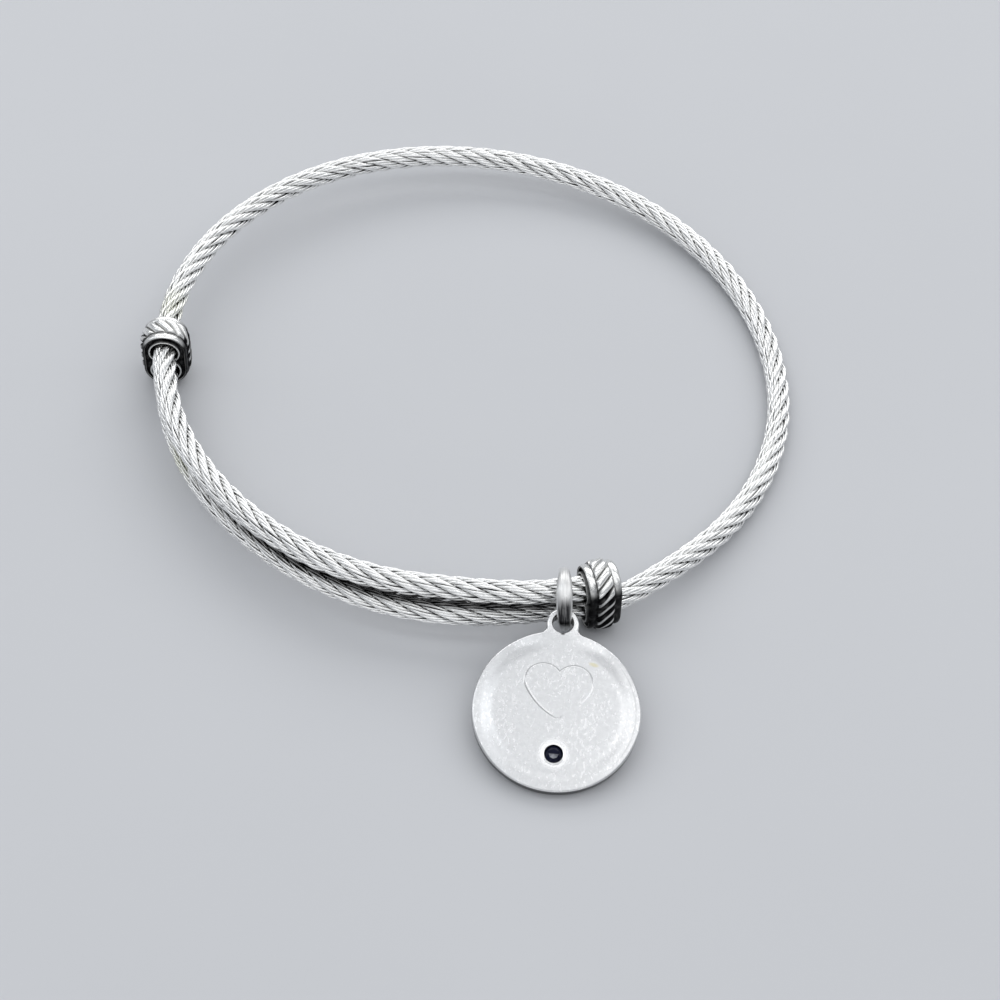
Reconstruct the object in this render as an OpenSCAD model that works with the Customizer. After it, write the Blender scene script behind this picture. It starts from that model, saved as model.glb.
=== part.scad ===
// Adjustable charm bangle, lying on a flat surface.
// One twisted wire rope goes once round the wrist and on past itself in front. Each of its
// ends is held in an oblong bead through which the other end slides. A jump ring hangs on
// the doubled stretch and carries a round charm with an engraved heart and a dark stone.
// The origin is the middle of the loop on the surface; +Z is up and -Y is the doubled front.

/* [Cable] */
// Diameter of the wire rope over its strands
cable_d = 2.4; // [2.2:0.1:2.8]
// Radius of the loop, measured to the middle of the cable
loop_r = 31.75; // [30:0.25:35]
// Number of strands laid round the rope
strands = 6; // [5:1:8]
// Depth of the groove between two strands
groove = 0.3; // [0.1:0.05:0.4]
// Length of rope in which a strand goes once round
lay = 13.8; // [11:0.2:18]
// Clear space between the two runs of cable where they overlap
run_gap = 0.1; // [0.1:0.02:0.2]
// Plan angle of the left bead
left_at = 184.3; // [180:0.1:188]
// Plan angle of the right bead
right_at = 295.2; // [294:0.1:298]
// Lean of the overlapping runs at the right bead, 90 is straight above each other
right_lean = 85; // [80:1:90]

/* [Sliding beads] */
// Length of a bead along the cable, rim to rim
bead_len = 3.1; // [3:0.1:4]
// Clear space round the cable in its bore
bore_gap = 0.2; // [0.12:0.02:0.24]
// Wall of the liner lip round the bores
lip_wall = 0.18; // [0.14:0.02:0.3]
// How far the liner lip stands out of the end face
lip_out = 0.15; // [0.05:0.05:0.3]
// Width of the sunken channel between lip and rim
recess_w = 0.36; // [0.26:0.02:0.5]
// Depth of the sunken channel
recess_depth = 0.35; // [0.2:0.05:0.5]
// Wall of the rim outside the channel
rim_wall = 0.28; // [0.2:0.02:0.4]
// Half the width of a rim, which is fully round
rim_r = 0.3; // [0.2:0.02:0.36]
// How far the twisted ridges stand above the rims
ridge_rise = 0.3; // [0.1:0.05:0.45]
// Radius of one twisted ridge
ridge_r = 0.5; // [0.4:0.02:0.6]
// Number of ridges round a bead
ridges = 17; // [14:1:20]
// Slant of the ridges from the direction of the cable
ridge_slant = 45; // [30:1:50]
// How far the ends of a ridge run onto the rims
ridge_lap = 0.25; // [0.1:0.05:0.3]
// Metal left behind the fixed end of the cable
end_cap = 0.6; // [0.4:0.05:0.9]

/* [Jump ring] */
// Clear space along the cable between the ring and the right bead
ring_to_bead = 0.97; // [0.7:0.05:2]
// Width of the flattened wire where it is widest, in front
band_w = 1.5; // [1.2:0.05:1.7]
// Width of the flattened wire where it crosses over the cable
band_side_w = 0.9; // [0.6:0.05:1.1]
// Thickness of the flattened wire
band_t = 0.78; // [0.6:0.02:0.9]
// Straight length in the ring's oblong
ring_straight = 1.9; // [1.6:0.1:2.4]
// Clear space between the ring and the cable it is slung on
ring_gap = 0.12; // [0.1:0.01:0.16]
// Plan angle that the ring's axis faces
ring_facing = 2.4; // [0:0.2:6]
// Upward tilt of the ring's axis
ring_tilt = 4.3; // [0:0.1:6]
// Slope of the ring's long side, falling away to the back
ring_roll = 53; // [45:1:60]
// How far the ring has slid forward on the cable
ring_forward = 0.45; // [0.3:0.05:0.6]

/* [Charm] */
// Diameter of the disc
charm_d = 15.3; // [13:0.1:18]
// Thickness of the disc
charm_t = 1.4; // [1.2:0.05:1.8]
// Rounding of the charm's edge
charm_edge = 0.45; // [0.2:0.05:0.55]
// Metal round the eyelet's hole
tab_wall = 0.52; // [0.46:0.02:0.7]
// Hollow fillet between tab and disc
tab_fillet = 0.7; // [0.4:0.05:1]
// Clear space between the ring's wire and the eyelet's hole
eye_gap = 0.14; // [0.12:0.01:0.18]
// Distance of the eyelet's hole from the disc's rim
eye_out = 0.8; // [0.6:0.05:1]
// How far the charm has slid to the left on the ring's wire
charm_slid = 0.12; // [0:0.02:0.14]
// How far the middle of the hole lies in front of the ring's wire
charm_hung = 0.14; // [0.02:0.02:0.16]
// Plan angle by which the charm has swung
charm_swing = -0.8; // [-4:0.1:4]
// Turn of the heart and the stone away from the eyelet's direction
engraving_turn = -0.4; // [-5:0.1:5]
// Width over the lobes of the engraved heart
heart_w = 6.2; // [4:0.1:8]
// Height of the engraved heart, lobes to point
heart_h = 5.2; // [4:0.05:6.5]
// Middle of the heart above the middle of the disc
heart_up = 1.75; // [1:0.1:2.5]
// Width of the engraved line
line_w = 0.16; // [0.1:0.02:0.3]
// Depth of the engraved line
line_depth = 0.08; // [0.04:0.01:0.15]

/* [Stone] */
// Diameter of the round stone
stone_d = 1.6; // [1.2:0.05:2]
// Clear space between stone and seat
stone_gap = 0.06; // [0.05:0.01:0.12]
// Distance of the stone below the middle of the disc
stone_down = 4.18; // [3.8:0.02:5]
// Depth of the stone's table under the face
stone_sink = 0.05; // [0.02:0.01:0.1]
// Depth of the stone from table to point
stone_depth = 0.85; // [0.7:0.05:0.95]
// Width of the polished bevel round the seat
seat_bevel_w = 0.22; // [0.1:0.02:0.3]
// Depth of the polished bevel round the seat
seat_bevel_depth = 0.1; // [0.04:0.01:0.15]

/* [Hidden] */
$fn = 48;

// Fit of the two runs and of what they pass through
spacing = cable_d + run_gap;
bore_d = cable_d + 2*bore_gap;
lip_w = bore_d + 2*lip_wall;
rim_w = lip_w + 2*(recess_w + rim_wall);
bead_w = rim_w + 2*ridge_rise;

// Heights of the cable's middle: on the surface, in a bead's lower bore and in its upper one
lying_z = cable_d/2;
low_z = bead_w/2;
high_z = low_z + spacing;

// Angle of loop for each millimetre of cable
turn_per_mm = 180/(PI*loop_r);
bead_turn = bead_len/2*turn_per_mm;
// Angle over which the cable comes down from the right bead to the surface
settle_turn = 42;
// Where the cable starts to rise from the surface towards the left bead
rise_from = 364.3;
full_turn = 360;

// Shape of the loop in plan: [plan angle, radius as a share of loop_r]
loop_shape = [
    [left_at - 20, 0.996],
    [left_at, 0.991],
    [left_at + 31, 0.990],
    [left_at + 78, 1.000],
    [right_at - 15, 0.9985],
    [right_at - 8, 1.003],
    [right_at - 3.2, 1.0115],
    [right_at, 1.0175],
    [right_at + 3, 1.0225],
    [right_at + 6.3, 1.0195],
    [right_at + 11, 1.010],
    [right_at + 18, 1.001],
    [right_at + 30, 0.998],
    [right_at + 55, 1.003],
    [right_at + 77, 1.000],
    [left_at + 340, 0.996],
    [left_at + 360, 0.991],
    [left_at + 391, 0.990]
];
// Lean of the upper run over the lower one: [plan angle, angle above level]
run_lean = [
    [left_at - 20, 90],
    [left_at, 90],
    [left_at + 20, 90],
    [left_at + 41, 83],
    [left_at + 61, 76],
    [left_at + 74, 67],
    [left_at + 84, 59],
    [right_at - 19, 70],
    [right_at - 11, right_lean - 3],
    [right_at, right_lean],
    [right_at + 15, right_lean]
];

// Smooth curve through the rows of a table
function row_under(t, a, k = 1) = k < len(t) - 3 && t[k + 1][0] <= a ? row_under(t, a, k + 1) : k;
function slope_at(t, k) = (t[k + 1][1] - t[k - 1][1])/(t[k + 1][0] - t[k - 1][0]);
function blend(t, a, k, span, u) =
    (2*u*u*u - 3*u*u + 1)*t[k][1] + (u*u*u - 2*u*u + u)*span*slope_at(t, k)
    + (3*u*u - 2*u*u*u)*t[k + 1][1] + (u*u*u - u*u)*span*slope_at(t, k + 1);
function between(t, a, k, span) = blend(t, a, k, span, (a - t[k][0])/span);
function along(t, a) = let (k = row_under(t, a)) between(t, a, k, t[k + 1][0] - t[k][0]);
// Gentle change from 0 to 1 while u goes from 0 to 1
function ease(u) = (1 - cos(180*min(max(u, 0), 1)))/2;
function unit(v) = v/norm(v);
function level(a) = [cos(a), sin(a), 0];

// Middle of the cable: the lower run and the single stretch, then the upper run over it
settle_from = right_at + bead_turn + lip_out*turn_per_mm;
function run_z(a) = a < rise_from
    ? low_z + (lying_z - low_z)*ease((a - settle_from)/settle_turn)
    : lying_z + (high_z - lying_z)*ease((a - rise_from)/(left_at + full_turn - rise_from));
function first_run(a) = loop_r*along(loop_shape, a)*level(a) + [0, 0, run_z(a)];
function lean_side(a) = let (tilt = along(run_lean, a)) [0, 0, sin(tilt)] - cos(tilt)*level(a);
function cable_at(a) = a <= left_at + full_turn
    ? first_run(a)
    : first_run(a - full_turn) + spacing*lean_side(a - full_turn);
step_angle = 0.25;
function cable_way(a) = unit(cable_at(a + step_angle) - cable_at(a - step_angle));

// Both ends stop short of the cap in their bead
end_reach = (bead_len/2 - end_cap - bore_gap)*turn_per_mm;
cable_from = left_at - end_reach;
cable_to = right_at + full_turn + end_reach;
// The rope's section has a groove point and two crown points for each strand
points_per_strand = 3;
section_points = strands*points_per_strand;
ring_every = 1.2;
cable_rings = ceil((cable_to - cable_from)/(ring_every*turn_per_mm));

function section_r(j) = cable_d/2 - (j % points_per_strand == 0 ? groove : 0);
function rope_ring(a) =
    let (way = cable_way(a), side = unit(cross(way, [0, 0, 1])), rest = cross(way, side),
         turn = (a - cable_from)/turn_per_mm/lay*full_turn)
    [for (j = [0:section_points - 1])
        let (spin = turn + j*full_turn/section_points)
        cable_at(a) + section_r(j)*(cos(spin)*side + sin(spin)*rest)];

module cable() {
    rings = [for (i = [0:cable_rings])
        rope_ring(cable_from + (cable_to - cable_from)*i/cable_rings)];
    n = section_points;
    sides = [for (i = [0:cable_rings - 1], j = [0:n - 1])
        let (near = i*n + j, near_next = i*n + (j + 1) % n)
        each [[near, near + n, near_next], [near + n, near_next + n, near_next]]];
    start_cap = [for (j = [0:n - 1]) j];
    end_cap_face = [for (j = [n - 1:-1:0]) cable_rings*n + j];
    color("silver")
        polyhedron([for (ring = rings) each ring], concat(sides, [start_cap, end_cap_face]));
}

// Moves its children to a place with three given axes
module placed(at, x, y, z) {
    multmatrix([[x[0], y[0], z[0], at[0]], [x[1], y[1], z[1], at[1]], [x[2], y[2], z[2], at[2]]])
        children();
}

// Carries a half section round an oblong: a half turn at each end and two straight sides
module oblong_turn(straight) {
    for (half = [0, 180]) rotate(half) {
        translate([0, straight/2, 0]) rotate_extrude(angle = 180) children();
        rotate([90, 0, 0]) linear_extrude(straight, center = true) children();
    }
}

// Oblong that keeps its width round both bores
module oblong(width) {
    for (s = [-1, 1]) translate([0, s*spacing/2]) circle(d = width);
    square([width, spacing], center = true);
}

// Half section of a bead: the core between two fully round rims
module bead_section() {
    core_r = bead_w/2 - ridge_r;
    translate([0, -bead_len/2 + rim_r]) square([core_r, bead_len - 2*rim_r]);
    for (s = [-1, 1]) translate([0, s*(bead_len/2 - rim_r)]) {
        translate([rim_w/2 - rim_r, 0]) circle(rim_r);
        translate([0, -rim_r]) square([rim_w/2 - rim_r, 2*rim_r]);
    }
}

// Length of the straight middle of a ridge, and the radius its ends need to stay inside bead_w
ridge_span = bead_len - 4*rim_r + 2*ridge_lap;
ridge_len = (ridge_span - 2*ridge_r)/cos(ridge_slant);
ridge_path_r = sqrt(pow(bead_w/2 - ridge_r, 2) - pow(ridge_len/2*sin(ridge_slant), 2));
half_arc = PI*ridge_path_r;
ridge_path = 2*(half_arc + spacing);

// Carries a ridge to a distance s along the oblong path
module on_ridge_path(s) {
    half = floor(s/(half_arc + spacing));
    rest = s - half*(half_arc + spacing);
    rotate(180*half) {
        if (rest < half_arc)
            translate([0, spacing/2, 0]) rotate(180*rest/half_arc)
                translate([ridge_path_r, 0, 0]) children();
        else
            translate([-ridge_path_r, spacing/2 - (rest - half_arc), 0]) rotate(180) children();
    }
}

module ridge() {
    rotate([ridge_slant, 0, 0]) {
        cylinder(h = ridge_len, r = ridge_r, center = true, $fn = 24);
        for (s = [-1, 1]) translate([0, 0, s*ridge_len/2]) sphere(ridge_r, $fn = 24);
    }
}

// Bead with its cable along Z; the open bore is on the side open_side and the other is blind,
// entered from the end blind_from
module slider_bead(open_side, blind_from) {
    difference() {
        union() {
            difference() {
                oblong_turn(spacing) bead_section();
                for (s = [-1, 1]) translate([0, 0, s*bead_len/2])
                    linear_extrude(2*recess_depth, center = true) oblong(lip_w + 2*recess_w);
            }
            linear_extrude(bead_len + 2*lip_out, center = true) oblong(lip_w);
            for (k = [0:ridges - 1]) on_ridge_path(ridge_path*k/ridges) ridge();
        }
        translate([0, open_side*spacing/2, 0]) cylinder(d = bore_d, h = 2*bead_len, center = true);
        translate([0, -open_side*spacing/2, blind_from*(bead_len/2 + end_cap)])
            cylinder(d = bore_d, h = 2*bead_len, center = true);
    }
}

// Places a bead on both runs at a plan angle
module on_runs(a) {
    low = first_run(a);
    high = low + spacing*lean_side(a);
    up = unit(high - low);
    way = cable_way(a);
    flat = unit(cross(up, way));
    placed((low + high)/2, flat, up, cross(flat, up)) children();
}

module left_slider_bead() {
    color("dimgray") on_runs(left_at) slider_bead(1, 1);
}

module right_slider_bead() {
    color("dimgray") on_runs(right_at) slider_bead(-1, -1);
}

// Axes of the jump ring: its axis, its short side and its long side towards the front
ring_axis = [cos(ring_tilt)*cos(ring_facing), cos(ring_tilt)*sin(ring_facing), sin(ring_tilt)];
ring_back = unit(cross([0, 0, 1], ring_axis));
ring_rise = cross(ring_axis, ring_back);
ring_short = sin(ring_roll)*ring_back + cos(ring_roll)*ring_rise;
ring_long = sin(ring_roll)*ring_rise - cos(ring_roll)*ring_back;
ring_at = right_at - (bead_len/2 + ring_to_bead + band_w/2)*turn_per_mm;
ring_low = first_run(ring_at);
ring_high = ring_low + spacing*lean_side(ring_at);
ring_middle = (ring_low + ring_high)/2 + ring_forward*ring_long;
// The cable crosses the ring's plane at a slant, so its section there is wider
ring_cross = cable_way(ring_at)*ring_axis;
ring_half = abs((ring_high - ring_low)*ring_short)/2 + cable_d/2/ring_cross + ring_gap;
band_mid_r = ring_half + band_t/2;

// Flattened wire: two arcs that meet in thin edges
function arc_through(half_chord, rise) = (half_chord*half_chord + rise*rise)/(2*rise);
module band_section() {
    arc_r = arc_through(band_w/2, band_t/2);
    translate([band_mid_r, 0]) intersection() {
        translate([arc_r - band_t/2, 0]) circle(arc_r, $fn = 96);
        translate([band_t/2 - arc_r, 0]) circle(arc_r, $fn = 96);
    }
}

// Leaf outline that narrows the wire from the ring's ends towards its sides
module leaf(depth) {
    side_r = arc_through(band_mid_r, (band_w - band_side_w)/2);
    rotate([90, 0, 0]) linear_extrude(depth, center = true) intersection_for(s = [-1, 1])
        translate([0, s*(side_r - band_w/2)]) circle(side_r, $fn = 192);
}

module jump_ring() {
    color("lightgray") placed(ring_middle, ring_short, ring_long, ring_axis) intersection() {
        oblong_turn(ring_straight) band_section();
        leaf(2*(ring_straight + 2*band_mid_r));
    }
}

// The charm hangs from the ring's front, where the wire goes steeply down through its eyelet:
// the angle below level, seen from the middle of the ring's front end
pass_below = 13;
ring_front = ring_middle + ring_straight/2*ring_long;
front_way = -unit([ring_back[0], ring_back[1], 0]);
pass_point = ring_front + band_mid_r*(cos(pass_below)*front_way - sin(pass_below)*[0, 0, 1]);
// The hole lets the wire through at its widest
eye_d = norm([band_w, band_t]) + 2*eye_gap;
charm_back = level(90 + charm_swing);
eye_at = pass_point - charm_hung*charm_back - charm_slid*level(charm_swing);
tab_r = eye_d/2 + tab_wall;
eye_from_middle = charm_d/2 + eye_out;
// Tilt at which the rounded lower edge of the disc just touches the surface
edge_arm = charm_d/2 - charm_edge + eye_from_middle;
edge_drop = charm_t/2 - charm_edge;
charm_tilt = asin((eye_at[2] - charm_edge)/norm([edge_arm, edge_drop]))
             - atan(edge_drop/edge_arm);
charm_side = level(charm_swing);
charm_up = cos(charm_tilt)*charm_back + sin(charm_tilt)*[0, 0, 1];
charm_face = cross(charm_side, charm_up);
charm_middle = eye_at - eye_from_middle*charm_up;

module on_charm() {
    placed(charm_middle, charm_side, charm_up, charm_face) children();
}

// Where the stone sits in the charm's face
module at_stone(z) {
    rotate(engraving_turn) translate([0, -stone_down, z]) children();
}

// Half section of a disc of the charm's thickness with both edges rounded
module disc_section(r) {
    inner_r = r - charm_edge;
    translate([0, -charm_t/2]) square([inner_r, charm_t]);
    translate([0, charm_edge - charm_t/2]) square([r, charm_t - 2*charm_edge]);
    for (s = [-1, 1]) translate([inner_r, s*(charm_t/2 - charm_edge)]) circle(charm_edge);
}

// Middle of the hollow fillet, which touches both the disc and the round tab
disc_reach = charm_d/2 + tab_fillet;
tab_reach = tab_r + tab_fillet;
fillet_y = (pow(disc_reach, 2) - pow(tab_reach, 2) + pow(eye_from_middle, 2))/(2*eye_from_middle);
fillet_x = sqrt(pow(disc_reach, 2) - pow(fillet_y, 2));

// Half section of what a fillet takes away, flared so that the edge it leaves is rounded
module fillet_section() {
    difference() {
        translate([0, -charm_t]) square([tab_fillet + charm_edge, 2*charm_t]);
        for (s = [-1, 1]) translate([tab_fillet + charm_edge, s*(charm_t/2 - charm_edge)])
            circle(charm_edge);
        translate([tab_fillet, charm_edge - charm_t/2]) square([charm_edge, charm_t - 2*charm_edge]);
    }
}

// Round tab and the neck that runs from it into the disc
module eyelet() {
    translate([0, eye_from_middle, 0]) rotate_extrude() disc_section(tab_r);
    difference() {
        linear_extrude(charm_t, center = true)
            polygon([[-fillet_x, fillet_y], [0, 0], [fillet_x, fillet_y], [0, eye_from_middle]]);
        for (s = [-1, 1]) translate([s*fillet_x, fillet_y, 0]) rotate_extrude() fillet_section();
    }
}

// Heart from two lobe arcs and two flank arcs that meet in a point; radii as shares of its width
lobe_share = 0.276;
flank_share = 0.97;
lobe_r = heart_w*lobe_share;
lobe_x = heart_w/2 - lobe_r;
lobe_y = heart_h/2 - lobe_r;
flank_r = heart_w*flank_share;
point_y = -heart_h/2;
// Direction from the lobe's middle to the flank's middle, so that the flank ends in the point
flank_arm = flank_r - lobe_r;
point_far = norm([lobe_x, lobe_y - point_y]);
flank_turn = acos((flank_r*flank_r - point_far*point_far - flank_arm*flank_arm)
                  /(2*point_far*flank_arm));
flank_dir = atan2(lobe_y - point_y, lobe_x) + flank_turn;
flank_x = lobe_x + flank_arm*cos(flank_dir);
flank_y = lobe_y + flank_arm*sin(flank_dir);
flank_from = atan2(point_y - flank_y, -flank_x);
flank_to = flank_dir - 180;
notch_at = acos(-lobe_x/lobe_r);
// The arcs run a little way into each other
arc_lap = 0.8;

module engraved_arc(r, from, to) {
    rotate(from) rotate_extrude(angle = to - from)
        translate([r - line_w/2, -line_depth]) square([line_w, 2*line_depth]);
}

module heart_line() {
    for (s = [0, 1]) mirror([s, 0, 0]) {
        translate([lobe_x, lobe_y, 0]) engraved_arc(lobe_r, flank_to, notch_at + arc_lap, $fn = 64);
        translate([flank_x, flank_y, 0])
            engraved_arc(flank_r, flank_from - arc_lap, flank_to + arc_lap, $fn = 192);
    }
}

seat_d = stone_d + 2*stone_gap;
seat_depth = stone_sink + stone_depth + stone_gap;

module charm_disc() {
    color("gainsboro") on_charm() difference() {
        union() {
            rotate_extrude($fn = 120) disc_section(charm_d/2);
            eyelet();
        }
        translate([0, eye_from_middle, 0]) cylinder(d = eye_d, h = 2*charm_t, center = true);
        rotate(engraving_turn) translate([0, heart_up, charm_t/2]) heart_line();
        at_stone(charm_t/2 - seat_depth) cylinder(d = seat_d, h = charm_t);
        at_stone(charm_t/2 - seat_bevel_depth)
            cylinder(d1 = seat_d, d2 = seat_d + 4*seat_bevel_w, h = 2*seat_bevel_depth);
    }
}

// Brilliant cut with a table, sixteen crown facets and eight below the girdle
facets = 8;
table_share = 0.58;
crown_share = 0.3;

module charm_stone() {
    table = [for (k = [0:facets - 1]) let (a = full_turn*k/facets)
        [stone_d/2*table_share*cos(a), stone_d/2*table_share*sin(a), 0]];
    girdle = [for (k = [0:facets - 1]) let (a = full_turn*(k + 0.5)/facets)
        [stone_d/2*cos(a), stone_d/2*sin(a), -crown_share*stone_depth]];
    crown = [for (k = [0:facets - 1]) let (next = (k + 1) % facets)
        each [[k, next, facets + k], [next, facets + next, facets + k]]];
    below = [for (k = [0:facets - 1]) [facets + k, facets + (k + 1) % facets, 2*facets]];
    color("midnightblue") on_charm() at_stone(charm_t/2 - stone_sink)
        polyhedron(concat(table, girdle, [[0, 0, -stone_depth]]),
                   concat([[for (k = [facets - 1:-1:0]) k]], crown, below));
}

cable();
left_slider_bead();
right_slider_bead();
jump_ring();
charm_disc();
charm_stone();
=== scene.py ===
"""Looks of the charm bangle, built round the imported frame: a rope of drawn wires, two oxidised beads,
a brushed jump ring, a satin charm with its engraved heart, and the dark stone set in it.
Named lengths are in millimetres and named angles in degrees; the lights alone are in metres. The
origin is the middle of the loop on the surface that the bangle lies on, +Z is up and -Y is the
doubled front."""
import math

import bmesh
import bpy
import numpy as np
from mathutils import Matrix, Vector
from mathutils.geometry import delaunay_2d_cdt


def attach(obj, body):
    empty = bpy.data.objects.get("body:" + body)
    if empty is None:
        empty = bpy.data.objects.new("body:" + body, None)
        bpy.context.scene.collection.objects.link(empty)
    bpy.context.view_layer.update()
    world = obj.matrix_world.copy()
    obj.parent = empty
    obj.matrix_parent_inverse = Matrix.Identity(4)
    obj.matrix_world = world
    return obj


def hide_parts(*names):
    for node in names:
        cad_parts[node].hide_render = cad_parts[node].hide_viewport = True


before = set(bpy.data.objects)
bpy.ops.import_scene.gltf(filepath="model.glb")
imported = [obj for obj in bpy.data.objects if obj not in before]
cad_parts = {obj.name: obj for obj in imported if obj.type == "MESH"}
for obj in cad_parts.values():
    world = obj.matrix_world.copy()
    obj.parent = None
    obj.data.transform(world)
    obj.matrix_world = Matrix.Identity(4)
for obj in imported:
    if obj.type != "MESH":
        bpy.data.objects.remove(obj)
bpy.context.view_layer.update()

MM = 0.001
UP = np.array([0.0, 0.0, 1.0])

# Cable
CABLE_D = 2.4
LOOP_R = 31.75
LAY = 13.8
RUN_GAP = 0.1
STRANDS = 6
WIRES = 6
WIRE_LAY = 4.1
WIRE_SIDES = 7
WIRE_STEP = 0.3

# Beads on the cable
LEFT_AT = 184.3
RIGHT_AT = 295.2
RIGHT_LEAN = 85.0
BEAD_LEN = 3.1
BORE_GAP = 0.2
LIP_WALL = 0.18
LIP_OUT = 0.15
RECESS_W = 0.36
RECESS_DEPTH = 0.35
RIM_WALL = 0.28
RIDGE_RISE = 0.3
RIDGES = 17
RIDGE_SLANT = 43.0
END_CAP = 0.6

# Jump ring
RING_TO_BEAD = 0.97
BAND_W = 1.5
BAND_SIDE_W = 0.95
BAND_T = 0.78
RING_STRAIGHT = 1.9
RING_GAP = 0.12
RING_FACING = 2.4
RING_TILT = 4.3
RING_ROLL = 53.0
RING_FORWARD = 0.45

# Charm
CHARM_D = 15.3
CHARM_T = 1.4
CHARM_EDGE = 0.45
TAB_WALL = 0.52
TAB_FILLET = 0.7
EYE_GAP = 0.14
EYE_OUT = 0.8
CHARM_SLID = 0.12
CHARM_HUNG = 0.14
CHARM_SWING = -0.8
PASS_BELOW = 13.0
ENGRAVING_TURN = -0.4
HEART_W = 6.2
HEART_H = 5.2
HEART_UP = 1.75
LOBE_SHARE = 0.276
FLANK_SHARE = 0.97
LINE_W = 0.18
LINE_DEPTH = 0.045

# Stone and its seat
STONE_D = 1.6
STONE_GAP = 0.06
STONE_DOWN = 4.18
STONE_SINK = 0.05
STONE_DEPTH = 0.85
SEAT_BEVEL_W = 0.22
SEAT_BEVEL_DEPTH = 0.05

# Worked out from the sizes above
SPACING = CABLE_D + RUN_GAP
BORE_D = CABLE_D + 2 * BORE_GAP
LIP_W = BORE_D + 2 * LIP_WALL
RIM_W = LIP_W + 2 * (RECESS_W + RIM_WALL)
BEAD_W = RIM_W + 2 * RIDGE_RISE
LYING_Z = CABLE_D / 2
LOW_Z = BEAD_W / 2
HIGH_Z = LOW_Z + SPACING
TURN_PER_MM = 180 / (math.pi * LOOP_R)
SETTLE_FROM = RIGHT_AT + (BEAD_LEN / 2 + LIP_OUT) * TURN_PER_MM
SETTLE_TURN = 42.0
RISE_FROM = 364.3
END_REACH = (BEAD_LEN / 2 - END_CAP - BORE_GAP) * TURN_PER_MM
CABLE_FROM = LEFT_AT - END_REACH
CABLE_TO = RIGHT_AT + 360 + END_REACH

# Shape of the loop in plan: plan angle, radius as a share of LOOP_R
LOOP_SHAPE = np.array([
    (LEFT_AT - 20, 0.996), (LEFT_AT, 0.991), (LEFT_AT + 31, 0.990), (LEFT_AT + 78, 1.000),
    (RIGHT_AT - 15, 0.9985), (RIGHT_AT - 8, 1.003), (RIGHT_AT - 3.2, 1.0115), (RIGHT_AT, 1.0175),
    (RIGHT_AT + 3, 1.0225), (RIGHT_AT + 6.3, 1.0195), (RIGHT_AT + 11, 1.010), (RIGHT_AT + 18, 1.001),
    (RIGHT_AT + 30, 0.998), (RIGHT_AT + 55, 1.003), (RIGHT_AT + 77, 1.000),
    (LEFT_AT + 340, 0.996), (LEFT_AT + 360, 0.991), (LEFT_AT + 391, 0.990),
])
# Lean of the upper run over the lower one: plan angle, angle above level
RUN_LEAN = np.array([
    (LEFT_AT - 20, 90), (LEFT_AT, 90), (LEFT_AT + 20, 90), (LEFT_AT + 41, 83),
    (LEFT_AT + 61, 76), (LEFT_AT + 74, 67), (LEFT_AT + 84, 59), (RIGHT_AT - 19, 70),
    (RIGHT_AT - 11, RIGHT_LEAN - 3), (RIGHT_AT, RIGHT_LEAN), (RIGHT_AT + 15, RIGHT_LEAN),
])


# Route of the cable


def unit(v):
    """Each vector of an array at length 1."""
    v = np.asarray(v, float)
    return v / np.linalg.norm(v, axis=-1, keepdims=True)


def level(angles):
    """Level directions at plan angles."""
    turn = np.radians(angles)
    return np.stack([np.cos(turn), np.sin(turn), np.zeros_like(turn)], axis=-1)


def turned(angles, first, second):
    """Directions turned by angles from the first towards the second."""
    return np.cos(angles)[..., None] * first + np.sin(angles)[..., None] * second


def blend(low, high, part):
    """Low where part is 0 and high where it is 1."""
    return low + (high - low) * part


def ease(u):
    """Gentle change from 0 to 1 while u goes from 0 to 1."""
    return (1 - np.cos(np.pi * np.clip(u, 0, 1))) / 2


def along(table, angles):
    """Smooth curve through the rows of a table, read at plan angles."""
    at, value = table[:, 0], table[:, 1]
    k = np.clip(np.searchsorted(at, angles, side="right") - 1, 1, len(at) - 3)
    slope = (value[2:] - value[:-2]) / (at[2:] - at[:-2])
    span = at[k + 1] - at[k]
    u = (angles - at[k]) / span
    return ((2 * u**3 - 3 * u**2 + 1) * value[k] + (u**3 - 2 * u**2 + u) * span * slope[k - 1]
            + (3 * u**2 - 2 * u**3) * value[k + 1] + (u**3 - u**2) * span * slope[k])


def first_run(angles):
    """Middle of the cable on its lower run and its single stretch."""
    angles = np.asarray(angles, float)
    settling = blend(LOW_Z, LYING_Z, ease((angles - SETTLE_FROM) / SETTLE_TURN))
    climbing = blend(LYING_Z, HIGH_Z, ease((angles - RISE_FROM) / (LEFT_AT + 360 - RISE_FROM)))
    height = np.where(angles < RISE_FROM, settling, climbing)
    return (LOOP_R * along(LOOP_SHAPE, angles))[..., None] * level(angles) + height[..., None] * UP


def lean_side(angles):
    """Direction from the lower run to the upper one."""
    tilt = np.radians(along(RUN_LEAN, np.asarray(angles, float)))
    return turned(tilt, -level(angles), UP)


def cable_at(angles):
    """Middle of the cable, which goes round once and on past itself in front."""
    angles = np.asarray(angles, float)
    over = angles > LEFT_AT + 360
    plan = np.where(over, angles - 360, angles)
    return first_run(plan) + np.where(over, SPACING, 0.0)[..., None] * lean_side(plan)


def cable_way(angle, step=0.25):
    """Direction in which the cable runs."""
    return unit(cable_at(angle + step) - cable_at(angle - step))


# Meshes


def new_piece(name, points, faces, material, smooth=True, place=None):
    """A piece of the object from points in millimetres."""
    mesh = bpy.data.meshes.new(name)
    points = np.asarray(points, float)
    if place is not None:
        points = points @ place[:3, :3].T + place[:3, 3]
    mesh.from_pydata((points * MM).tolist(), [], faces)
    mesh.polygons.foreach_set("use_smooth", np.full(len(mesh.polygons), smooth))
    mesh.materials.append(material)
    piece = bpy.data.objects.new(name, mesh)
    bpy.context.scene.collection.objects.link(piece)
    return piece


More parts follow.
